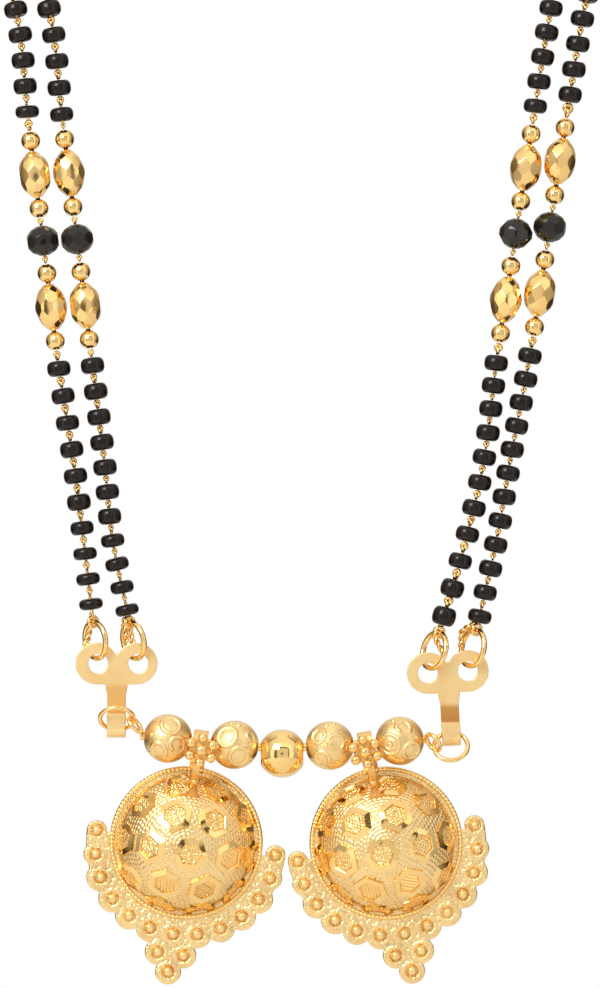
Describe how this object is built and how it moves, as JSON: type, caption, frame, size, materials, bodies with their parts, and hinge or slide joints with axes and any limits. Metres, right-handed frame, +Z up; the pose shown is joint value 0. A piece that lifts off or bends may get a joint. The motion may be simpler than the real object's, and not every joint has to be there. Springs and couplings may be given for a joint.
{
  "type": "mangalsutra necklace",
  "caption": "Two-strand necklace of black beads and gold accents, with a beaded centre bar and two hinged domed pendants with knobbed fringes.",
  "frame": {"origin": "the nape: middle of the clasp's inner face, where the necklace rests on the back of the neck", "axes": "+Z up, -Y to the front where the pendants hang, +X to the right as the front is seen"},
  "size_m": [0.1278, 0.1206, 0.2272],
  "materials": {
    "polished_gold": "polished gold plate",
    "carved_gold": "cast relief, satin in the hollows and bright on the edges",
    "black_glass": "glossy opaque glass"
  },
  "bodies": {
    "necklace": {"clasp": "polished_gold", "bar_wire": "polished_gold", "centre_ball": "polished_gold", "connector_left": "polished_gold", "link_ring_left": "polished_gold", "connector_right": "polished_gold", "link_ring_right": "polished_gold", "carved_bead_1": "carved_gold", "carved_bead_2": "carved_gold", "carved_bead_3": "carved_gold", "carved_bead_4": "carved_gold", "string_left_outer": "black_glass", "string_eye_left_outer": "polished_gold", "jump_ring_left_outer": "polished_gold", "string_left_inner": "black_glass", "string_eye_left_inner": "polished_gold", "jump_ring_left_inner": "polished_gold", "string_right_inner": "black_glass", "string_eye_right_inner": "polished_gold", "jump_ring_right_inner": "polished_gold", "string_right_outer": "black_glass", "string_eye_right_outer": "polished_gold", "jump_ring_right_outer": "polished_gold", "gold_ball_left_outer_1": "polished_gold", "gold_ball_left_outer_2": "polished_gold", "gold_ball_left_outer_3": "polished_gold", "gold_ball_left_outer_4": "polished_gold", "gold_oval_left_outer_1": "polished_gold", "gold_oval_left_outer_2": "polished_gold", "black_bead_left_outer_1": "black_glass", "gold_ball_left_inner_1": "polished_gold", "gold_ball_left_inner_2": "polished_gold", "gold_ball_left_inner_3": "polished_gold", "gold_ball_left_inner_4": "polished_gold", "gold_oval_left_inner_1": "polished_gold", "gold_oval_left_inner_2": "polished_gold", "black_bead_left_inner_1": "black_glass", "gold_ball_right_inner_1": "polished_gold", "gold_ball_right_inner_2": "polished_gold", "gold_ball_right_inner_3": "polished_gold", "gold_ball_right_inner_4": "polished_gold", "gold_oval_right_inner_1": "polished_gold", "gold_oval_right_inner_2": "polished_gold", "black_bead_right_inner_1": "black_glass", "gold_ball_right_outer_1": "polished_gold", "gold_ball_right_outer_2": "polished_gold", "gold_ball_right_outer_3": "polished_gold", "gold_ball_right_outer_4": "polished_gold", "gold_oval_right_outer_1": "polished_gold", "gold_oval_right_outer_2": "polished_gold", "black_bead_right_outer_1": "black_glass"},
    "pendant_left": {"pendant_left": "carved_gold"},
    "pendant_right": {"pendant_right": "carved_gold"}
  },
  "joints": [
    {"name": "pendant_left_swing", "type": "hinge", "parent": "necklace", "child": "pendant_left", "pos_m": [-0.01135, -0.112, -0.19269], "axis": [0.9903, 0, -0.1392], "range_deg": [-25, 10]},
    {"name": "pendant_right_swing", "type": "hinge", "parent": "necklace", "child": "pendant_right", "pos_m": [0.00935, -0.112, -0.19289], "axis": [0.9799, 0, 0.1994], "range_deg": [-25, 10]}
  ]
}
